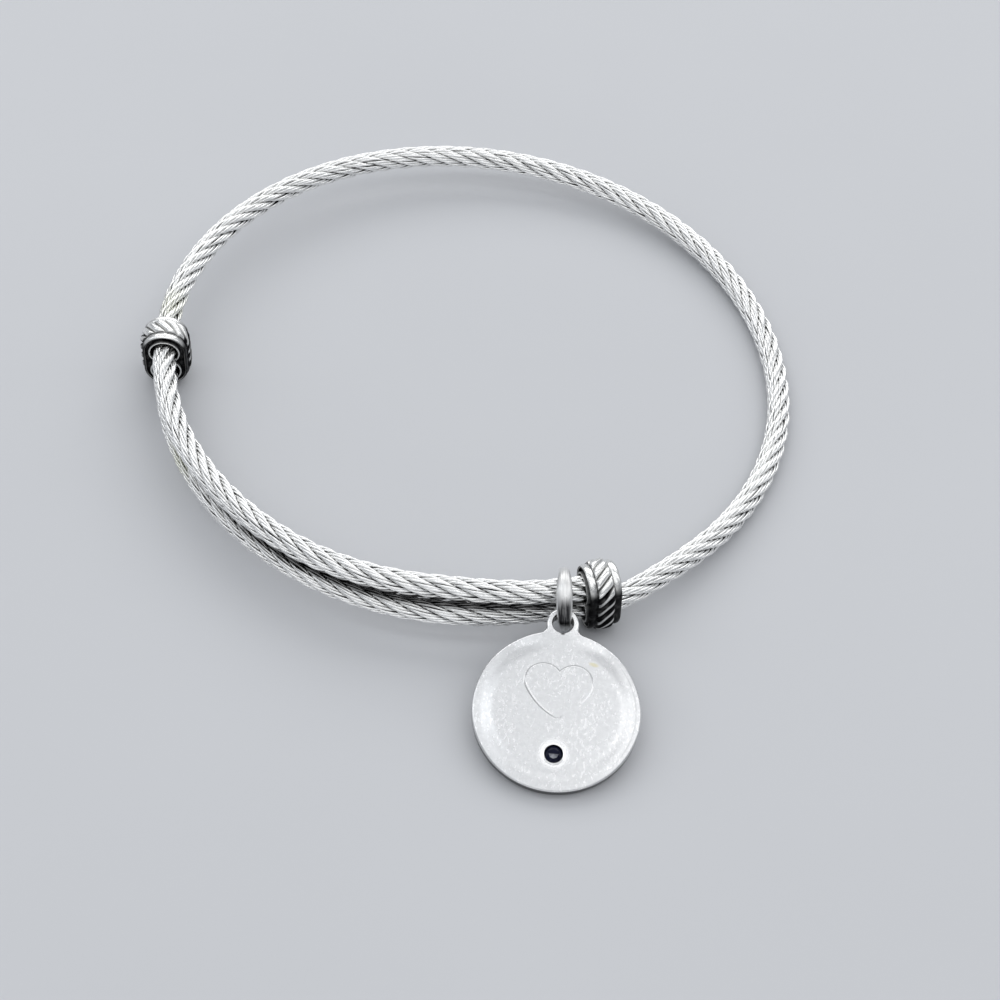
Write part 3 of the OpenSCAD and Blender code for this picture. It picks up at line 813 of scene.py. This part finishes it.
def jump_ring(material):
    """Ring of flattened wire, widest in front and behind and narrow over the cable's sides."""
    path, outward, lengths = oblong_path(RING_STEPS, BAND_MID_R, RING_STRAIGHT)
    narrow = (np.abs(path[:, 0]) / BAND_MID_R) ** NARROWING
    half_w = BAND_W / 2 - (BAND_W - BAND_SIDE_W) / 2 * narrow
    corner = 2 * math.pi * np.arange(BAND_SIDES) / BAND_SIDES
    over, aside = (np.sign(wave) * np.abs(wave) ** (2 / BAND_FULLNESS)
                   for wave in (np.cos(corner), np.sin(corner)))
    deep, wide = BAND_T / 2 * over[None, :], half_w[:, None] * aside[None, :]
    points = path[:, None] + deep[..., None] * outward[:, None] + wide[..., None] * UP
    piece = new_piece("jump_ring_band", points.reshape(-1, 3), closed_faces(RING_STEPS, BAND_SIDES),
                      material, place=RING_PLACE)
    places = np.stack(np.broadcast_arrays(lengths[:, None], wide, deep), axis=-1)
    paint(piece, "band_place", places.reshape(-1, 3))
    turn = np.degrees(lengths / BAND_MID_R)
    # Painted dark reflection on the lower front, kept off the band's edges
    dark_reflection = soft_step(turn, *DARK_REFLECTION_COMES) * (1 - soft_step(turn, *DARK_REFLECTION_GOES))
    darker_top = DARKER_BY * np.exp(-((turn - DARKER_AT) / DARKER_REACH) ** 2)
    film_and_shade = dark_reflection[:, None] * (1 - soft_step(np.abs(aside[None, :]), 0.6, 0.98)) + darker_top[:, None]
    paint(piece, "painted_shade_and_film", film_and_shade.ravel())
    stands_for(piece, "jump_ring")


# Charm: one plate with its eyelet, engraved heart and seat for the stone

EYE_R = math.hypot(BAND_W, BAND_T) / 2 + EYE_GAP
TAB_R = EYE_R + TAB_WALL
EYE_Y = CHARM_D / 2 + EYE_OUT
EYE_AT = (0.0, EYE_Y)
EYE_SOFT = 0.05
EYE_STEPS = 72
FRONT_EDGE = 0.22
EDGE_ROWS = 10
WALL_ROWS = (0.42, 0.35, 0.28, 0.1)
ROLL_DROP = 0.18
ROLL_FROM = 5.75
ROLL_TO = 7.05
SEAT_R = STONE_D / 2 + STONE_GAP
SEAT_STEPS = 64
STONE_AT = Vector((0.0, -STONE_DOWN)) @ Matrix.Rotation(math.radians(ENGRAVING_TURN), 2)
# Spacing of the plate's points: in the open, and where the engraved line needs them close
OPEN_MESH = 0.22
CLOSE_MESH = 0.022
MERGED_WITHIN = 0.0008
# A face whose middle lies within this share of a hole's radius fills the hole and is left out
IN_HOLE = 0.999
# Dirt in the engraved line, at large and on its left flank, where the extra is painted shade; painted shade
# on the rim's wall and in the eyelet's hole
LINE_DIRT_AND_SHADE = (0.30, 0.48)
WALL_SHADE = 0.85
EYE_SHADE = 0.8
# How far the front of the eyelet is rubbed bright
EYELET_RUBBED = 0.6


def charm_place():
    """Place of the charm, which hangs from the ring's front and rests on its lower edge."""
    front = RING_PLACE[:3, 3] + RING_STRAIGHT / 2 * RING_PLACE[:3, 1]
    front_way = -unit(np.array([RING_BACK[0], RING_BACK[1], 0.0]))
    passing = front + BAND_MID_R * turned(math.radians(PASS_BELOW), front_way, -UP)
    side, back = level(CHARM_SWING), level(90 + CHARM_SWING)
    eye = passing - CHARM_HUNG * back - CHARM_SLID * side
    arm, drop = CHARM_D / 2 - CHARM_EDGE + EYE_Y, CHARM_T / 2 - CHARM_EDGE
    tilt = math.asin((eye[2] - CHARM_EDGE) / math.hypot(arm, drop)) - math.atan(drop / arm)
    up = turned(tilt, back, UP)
    return placing(eye - EYE_Y * up, side, up, np.cross(side, up))


def arc(middle, radius, start, stop, step, sign):
    """Points of an outline as middle, direction, radius, and sign 1 where it bulges out."""
    count = max(2, int(abs(math.radians(stop - start)) * radius / step))
    turns = np.radians(np.linspace(start, stop, count, endpoint=False))
    return [(np.array(middle), np.array([math.cos(t), math.sin(t)]), radius, sign) for t in turns]


def plate_outline(step=0.14):
    """Outline of the plate: disc, hollow fillet, round tab and the other fillet."""
    disc_reach, tab_reach = CHARM_D / 2 + TAB_FILLET, TAB_R + TAB_FILLET
    fillet_y = (disc_reach**2 - tab_reach**2 + EYE_Y**2) / (2 * EYE_Y)
    fillet_x = math.sqrt(disc_reach**2 - fillet_y**2)
    to_disc = math.degrees(math.atan2(fillet_y, fillet_x))
    to_tab = math.degrees(math.atan2(fillet_y - EYE_Y, fillet_x))
    outline = arc((0, 0), CHARM_D / 2, 180 - to_disc, 360 + to_disc, step, 1)
    outline += arc((fillet_x, fillet_y), TAB_FILLET, to_disc + 180, to_tab + 180, step / 2, -1)
    outline += arc((0, EYE_Y), TAB_R, to_tab, 180 - to_tab, step / 2, 1)
    outline += arc((-fillet_x, fillet_y), TAB_FILLET, -to_tab, -to_disc, step / 2, -1)
    return outline


def inset(outline, depth):
    """The outline moved inwards by a depth."""
    return np.array([m + d * (r - sign * depth) for m, d, r, sign in outline])


def heart_curve(step=0.05):
    """Points along the heart's outline, from its notch round to its notch."""
    lobe_r, flank_r, point_y = HEART_W * LOBE_SHARE, HEART_W * FLANK_SHARE, -HEART_H / 2
    lobe = np.array([HEART_W / 2 - lobe_r, HEART_H / 2 - lobe_r])
    arm = flank_r - lobe_r
    far = math.hypot(lobe[0], lobe[1] - point_y)
    turn = math.acos((flank_r**2 - far**2 - arm**2) / (2 * far * arm))
    direction = math.atan2(lobe[1] - point_y, lobe[0]) + turn
    flank = lobe + arm * np.array([math.cos(direction), math.sin(direction)])
    lobe_turns = np.arange(math.acos(-lobe[0] / lobe_r), direction - math.pi, -step / lobe_r)
    point_turn = math.atan2(point_y - flank[1], -flank[0])
    flank_turns = np.arange(direction - math.pi, point_turn, -step / flank_r)
    right = np.concatenate([circle_points(lobe, lobe_r, lobe_turns),
                            circle_points(flank, flank_r, flank_turns), [[0.0, point_y]]])
    curve = np.concatenate([right, right[-2:0:-1] * [-1, 1]]) + [0, HEART_UP]
    c, s = math.cos(math.radians(ENGRAVING_TURN)), math.sin(math.radians(ENGRAVING_TURN))
    return curve @ np.array([[c, s], [-s, c]])


HEART = heart_curve()
# Rows of points beside the engraved line and round the stone's seat, by their distance from it
GROOVE_ROWS = (-0.16, -0.10, -0.07, -0.035, 0.0, 0.035, 0.07, 0.10, 0.14, 0.18, 0.23, 0.29)
SEAT_ROWS = (0.07, 0.15, 0.22, 0.27, 0.34)


def beside_curve(curve, away):
    """A closed curve's points moved sideways."""
    way = np.roll(curve, -1, axis=0) - np.roll(curve, 1, axis=0)
    way /= np.linalg.norm(way, axis=1, keepdims=True)
    return curve + away * np.stack([way[:, 1], -way[:, 0]], axis=1)


def near_heart(points):
    """Distance of points from the heart's line."""
    found = np.full(len(points), np.inf)
    ends = np.roll(HEART, -1, axis=0) - HEART
    for begin, edge in zip(HEART, ends):
        rel = points - begin
        part = np.clip(rel @ edge / max(edge @ edge, 1e-12), 0, 1)
        found = np.minimum(found, np.hypot(*(rel - part[:, None] * edge).T))
    return found


def apart_from(points, middle):
    """Distance of points from a middle, seen from the front."""
    return np.hypot(points[:, 0] - middle[0], points[:, 1] - middle[1])


def thinned(points, kept_points, apart):
    """Points that keep a distance from each other and from those kept."""
    grid, result = {}, []

    def cell(p):
        return int(math.floor(p[0] / apart)), int(math.floor(p[1] / apart))

    def clear(p):
        cx, cy = cell(p)
        return all(math.dist(p, q) >= apart
                   for i in (-1, 0, 1) for j in (-1, 0, 1) for q in grid.get((cx + i, cy + j), ()))

    for p in kept_points:
        grid.setdefault(cell(p), []).append(p)
    for p in points:
        if clear(p):
            grid.setdefault(cell(p), []).append(p)
            result.append(p)
    return result


def plate_face(border, eye_ring, seat_ring=None):
    """Triangles of one face of the plate, between its border, the eyelet's hole and the stone's seat."""
    loops = [border, eye_ring] + ([seat_ring] if seat_ring is not None else [])
    fixed = [tuple(p) for loop in loops for p in loop]
    edges, start = [], 0
    for loop in loops:
        edges += [(start + k, start + (k + 1) % len(loop)) for k in range(len(loop))]
        start += len(loop)
    loose = []
    if seat_ring is not None:
        loose += [p for row in GROOVE_ROWS for p in beside_curve(HEART, row)]
        loose += [p for row in SEAT_ROWS for p in circle(STONE_AT, SEAT_R + row, SEAT_STEPS)]
    inner = thinned(loose, fixed, CLOSE_MESH)
    grid = [p for r in np.arange(0.15, CHARM_D / 2 - CHARM_EDGE - 0.08, OPEN_MESH)
            for p in circle((0, 0), r, max(6, int(2 * math.pi * r / OPEN_MESH)))
            if math.dist(p, STONE_AT) > SEAT_R + 0.3 and math.dist(p, EYE_AT) > EYE_R + 0.15]
    inner += thinned(grid, fixed + inner, 0.12)
    coords, _, faces, *_ = delaunay_2d_cdt([Vector(p) for p in fixed + [tuple(p) for p in inner]],
                                           edges, [], 1, 1e-6)
    points = np.array([tuple(c) for c in coords])
    faces = [f for f in faces if outside_holes(points[list(f)].mean(axis=0), seat_ring is not None)]
    return points, faces


def outside_holes(p, has_seat):
    """Whether a point of the face is on metal."""
    in_eye = math.dist(p, EYE_AT) < IN_HOLE * (EYE_R + EYE_SOFT)
    in_seat = has_seat and math.dist(p, STONE_AT) < IN_HOLE * SEAT_R
    return not in_eye and not in_seat


def heart_sides(points):
    """The heart's left flank, where the line is painted darker with painted sheen beside it, and its right
    flank, where the line is almost worn away and painted bright.
    """
    x, y = points[:, 0], points[:, 1]
    left = soft_step(-x, 0.2, 0.5) * soft_step(2.7 - y, 0.0, 0.6)
    right = soft_step(x - 0.25 * (y - 2.6), 0.6, 1.6) * soft_step(3.2 - y, 0.0, 0.8)
    return left, right


def crown_drop(points):
    """How far the charm's front rolls down towards its rim, but not below the eyelet."""
    off_eyelet = soft_step(apart_from(points, EYE_AT), TAB_R + 0.2, TAB_R + 3.8)
    return ROLL_DROP * off_eyelet * soft_step(apart_from(points, (0, 0)), ROLL_FROM, ROLL_TO)


def front_height(points):
    """Height of the front face, with the engraved line and the stone's polished bevel."""
    worn_flat = 1 - heart_sides(points)[1]
    groove = LINE_DEPTH * worn_flat * (1 - soft_step(near_heart(points), 0.01, LINE_W / 2))
    bevel = SEAT_BEVEL_DEPTH * (1 - share(apart_from(points, STONE_AT), SEAT_R, SEAT_R + SEAT_BEVEL_W))
    return CHARM_T / 2 - crown_drop(points) - groove - bevel


def charm_plate(material):
    """The charm as one mesh: front, back, rounded rim, eyelet's hole and seat."""
    half_t = CHARM_T / 2
    built = bmesh.new()

    def add_points(flat, heights):
        return [built.verts.new((x, y, z)) for (x, y), z in zip(flat, np.broadcast_to(heights, len(flat)))]

    def bridge(first, second):
        for k in range(len(first)):
            after = (k + 1) % len(first)
            built.faces.new((first[k], first[after], second[after], second[k]))

    outline = plate_outline()
    turns = np.linspace(0, math.pi / 2, EDGE_ROWS)
    front, back = ([(edge * (1 - math.sin(t)), half_t - edge * (1 - math.cos(t))) for t in turns]
                   for edge in (FRONT_EDGE, CHARM_EDGE))
    profile = front + [(0.0, z) for z in WALL_ROWS] + [(depth, -z) for depth, z in reversed(back)]
    flats = [inset(outline, depth) for depth, _ in profile]
    rows = [add_points(flat, z - crown_drop(flat) * (max(z, 0.0) / half_t))
            for flat, (_, z) in zip(flats, profile)]
    for first, second in zip(rows, rows[1:]):
        bridge(second, first)

    eye_flat, eye_wall = circle(EYE_AT, EYE_R + EYE_SOFT, EYE_STEPS), circle(EYE_AT, EYE_R, EYE_STEPS)
    eye_top = half_t - crown_drop(eye_flat)
    eye_rows = [add_points(*row) for row in ((eye_flat, eye_top), (eye_wall, eye_top - EYE_SOFT),
                                             (eye_wall, EYE_SOFT - half_t), (eye_flat, -half_t))]
    for first, second in zip(eye_rows, eye_rows[1:]):
        bridge(first, second)

    seat_edge = circle(STONE_AT, SEAT_R, SEAT_STEPS)
    seat_top = add_points(seat_edge, front_height(seat_edge))
    seat_floor = add_points(seat_edge, half_t - STONE_SINK - STONE_DEPTH - STONE_GAP)
    bridge(seat_top, seat_floor)
    built.faces.new(seat_floor)

    for turn, border, seat in ((1, flats[0], seat_edge), (-1, flats[-1], None)):
        flat, faces = plate_face(border, eye_flat, seat)
        corners = add_points(flat, front_height(flat) if turn > 0 else -half_t)
        for face in faces:
            built.faces.new([corners[k] for k in face[::turn]])
    bmesh.ops.remove_doubles(built, verts=built.verts, dist=MERGED_WITHIN)
    bmesh.ops.recalc_face_normals(built, faces=built.faces)
    local = np.array([v.co[:] for v in built.verts])
    faces = [[v.index for v in f.verts] for f in built.faces]
    built.free()
    piece = new_piece("charm_plate", local, faces, material, place=charm_place())
    piece.data.set_sharp_from_angle(angle=math.radians(38))
    dirt_and_shade, wear_and_sheen = charm_wear_and_painted_light(local)
    paint(piece, "painted_shade_and_film", dirt_and_shade)
    paint(piece, "wear_and_sheen", wear_and_sheen)
    paint(piece, "charm_place", local)
    stands_for(piece, "charm_disc")


def charm_wear_and_painted_light(local):
    """Dirt and painted shade, and wear and painted sheen, on the charm."""
    y, z = local[:, 1], local[:, 2]
    on_front = soft_step(z, CHARM_T / 2 - 0.32, CHARM_T / 2 - 0.24)
    line = (1 - soft_step(near_heart(local[:, :2]), 0.02, LINE_W / 2)) * on_front
    left_flank, right_flank = heart_sides(local)
    from_stone = apart_from(local, STONE_AT)
    in_seat = (from_stone < SEAT_R + 0.01) & (z < CHARM_T / 2 - SEAT_BEVEL_DEPTH - 0.01)
    off_rim = CHARM_D / 2 - apart_from(local, (0, 0))
    wall_top = max(WALL_ROWS)
    wall = soft_step(wall_top - z, 0.0, 0.14) * soft_step(0.42 - off_rim, 0.0, 0.2) * (y < 0.4 * CHARM_D)
    in_eye = apart_from(local, EYE_AT) < EYE_R + 0.02
    # Dirt in the line and the seat; painted shade on the lower wall and in the eyelet's hole
    dirt_and_shade = (line * blend(*LINE_DIRT_AND_SHADE, left_flank) * (1 - right_flank) + in_seat
            + WALL_SHADE * wall + EYE_SHADE * in_eye)
    # Painted sheen beside the line's left flank and on the line's right flank, where their walls catch the
    # light
    beside_line = 1 - soft_step(near_heart(local[:, :2] - [0.13, 0.10]), 0.03, 0.10)
    halo = 1 - soft_step(from_stone, SEAT_R + 0.30, SEAT_R + 0.75)
    on_eyelet = EYELET_RUBBED * soft_step(y, CHARM_D / 2 - 0.5, CHARM_D / 2 + 0.2)
    line_sheen = line * right_flank * soft_step(y, 0.2, 1.5)
    wear_and_sheen = beside_line * left_flank + line_sheen + halo + on_eyelet
    return np.clip(dirt_and_shade, 0, 1), np.clip(wear_and_sheen * on_front, 0, 1)


# Stone: a small brilliant


def brilliant(material):
    """Round brilliant: table, eight stars, eight kites, sixteen halves, and sixteen facets below."""
    girdle_r, table_r = STONE_D / 2, STONE_D / 2 * 0.56
    crown_h, girdle_h = 0.26 * STONE_DEPTH, 0.03 * STONE_DEPTH
    mid_r = 0.8 * girdle_r
    mid_drop = crown_h * (mid_r * math.cos(math.pi / 8) - table_r) / (girdle_r - table_r)

    def ring(radius, z, count, shift=0.0):
        turns = 2 * math.pi * (np.arange(count) + shift) / count
        return [(x, y, z) for x, y in circle_points((0, 0), radius, turns)]

    points = (ring(table_r, 0, 8) + ring(mid_r, -mid_drop, 8, 0.5) + ring(girdle_r, -crown_h, 16)
              + ring(girdle_r, -crown_h - girdle_h, 16) + [(0, 0, -STONE_DEPTH), (0, 0, 0)])
    table, mid, rim, under, culet, centre = 0, 8, 16, 32, 48, 49
    faces = [(table + k, table + (k + 1) % 8, centre) for k in range(8)]
    # Faces of the table painted lighter as reflections, and how much
    painted_flash = {4: 0.55, 5: 1.0, 6: 0.75, 7: 0.45}
    for k in range(8):
        after, before = (k + 1) % 8, (k - 1) % 8
        faces += [(table + k, mid + k, table + after),
                  (table + k, mid + before, rim + 2 * k, mid + k),
                  (mid + k, rim + 2 * k, rim + 2 * k + 1),
                  (mid + k, rim + 2 * k + 1, rim + (2 * k + 2) % 16)]
    for k in range(16):
        after = (k + 1) % 16
        faces += [(rim + k, under + k, under + after, rim + after), (under + k, culet, under + after)]
    seat = np.eye(4)
    seat[:3, 3] = (STONE_AT[0], STONE_AT[1], CHARM_T / 2 - STONE_SINK)
    piece = new_piece("charm_stone_cut", points, faces, material, smooth=False, place=charm_place() @ seat)
    paint(piece, "painted_flash", [painted_flash.get(k, 0.0) for k in range(len(faces))], domain="FACE")
    stands_for(piece, "charm_stone")


# Camera, floor and light

CAMERA_AT = (3.8, -142.0, 153.53)
CAMERA_DOWN = 50.539
CAMERA_ROLL = 4.453
CAMERA_LENS = 72.0
FLOOR_HALF = 2000.0


def photo_camera():
    """The photograph's viewing angle."""
    data = bpy.data.cameras.new("Photo camera")
    data.lens, data.sensor_width = CAMERA_LENS, 36.0
    data.clip_start, data.clip_end = 0.01, 10.0
    camera = bpy.data.objects.new("Photo camera", data)
    down = Matrix.Rotation(math.radians(90 - CAMERA_DOWN), 4, "X")
    roll = Matrix.Rotation(math.radians(CAMERA_ROLL), 4, "Z")
    camera.matrix_world = Matrix.Translation(Vector(CAMERA_AT) * MM) @ down @ roll
    bpy.context.scene.collection.objects.link(camera)
    bpy.context.scene.camera = camera


def paper_floor(material):
    """A wide plain surface under the bangle."""
    corners = [(x * FLOOR_HALF, y * FLOOR_HALF, 0) for x, y in ((-1, -1), (1, -1), (1, 1), (-1, 1))]
    new_piece("paper_floor", corners, [(0, 1, 2, 3)], material, smooth=False)


# Lights, in metres: the place that they are aimed at, and name, place, width, height, brightness, colour
LIT_PLACE = Vector((0.0, -0.006, 0.002))
SOFT_LIGHTS = (
    ("Overhead softbox", (0.0, 0.06, 0.55), 0.56, 0.72, 0.21, (1.0, 1.0, 1.0)),
    ("Left softbox", (-0.33, 0.04, 0.45), 0.20, 0.70, 1.05, (0.96, 0.98, 1.0)),
    ("Right softbox", (0.33, 0.04, 0.45), 0.20, 0.70, 1.05, (1.0, 1.0, 1.0)),
    ("Front softbox", (0.0, -0.27, 0.46), 0.64, 0.30, 0.65, (1.0, 1.0, 1.0)),
    ("Low front card", (0.0, -0.50, 0.10), 0.70, 0.12, 1.2, (1.0, 1.0, 1.0)),
    ("Back softbox", (0.0, 0.52, 0.40), 1.00, 0.40, 1.7, (1.0, 1.0, 1.0)),
)


def soft_light(name, place, width, height, brightness, colour):
    """A softbox aimed at the bangle, as bright as a mirror would show it."""
    data = bpy.data.lights.new(name, "AREA")
    data.shape, data.size, data.size_y = "RECTANGLE", width, height
    data.energy, data.color = brightness * math.pi * width * height, colour
    light = bpy.data.objects.new(name, data)
    light.location = place
    light.rotation_mode = "QUATERNION"
    light.rotation_quaternion = (LIT_PLACE - Vector(place)).to_track_quat("-Z", "Y")
    bpy.context.scene.collection.objects.link(light)


def studio():
    """Softboxes overhead, on each side, in front and behind, a low card in front and a dim room."""
    world = bpy.data.worlds.new("Dim room")
    world.use_nodes = True
    world.node_tree.nodes["Background"].inputs["Color"].default_value = (0.86, 0.89, 0.94, 1)
    world.node_tree.nodes["Background"].inputs["Strength"].default_value = 0.44
    bpy.context.scene.world = world
    for light in SOFT_LIGHTS:
        soft_light(*light)
    bpy.context.scene.view_settings.view_transform = "Standard"


photo_camera()
paper_floor(floor_material())
studio()

wire_finish = wire_material()
for number in range(STRANDS):
    strand(number, wire_finish)
bead_finish = bead_material()
cast_bead("left_slider_bead", LEFT_AT, 1, 1, bead_finish)
cast_bead("right_slider_bead", RIGHT_AT, -1, -1, bead_finish)
jump_ring(ring_material())
charm_plate(charm_material())
brilliant(stone_material())
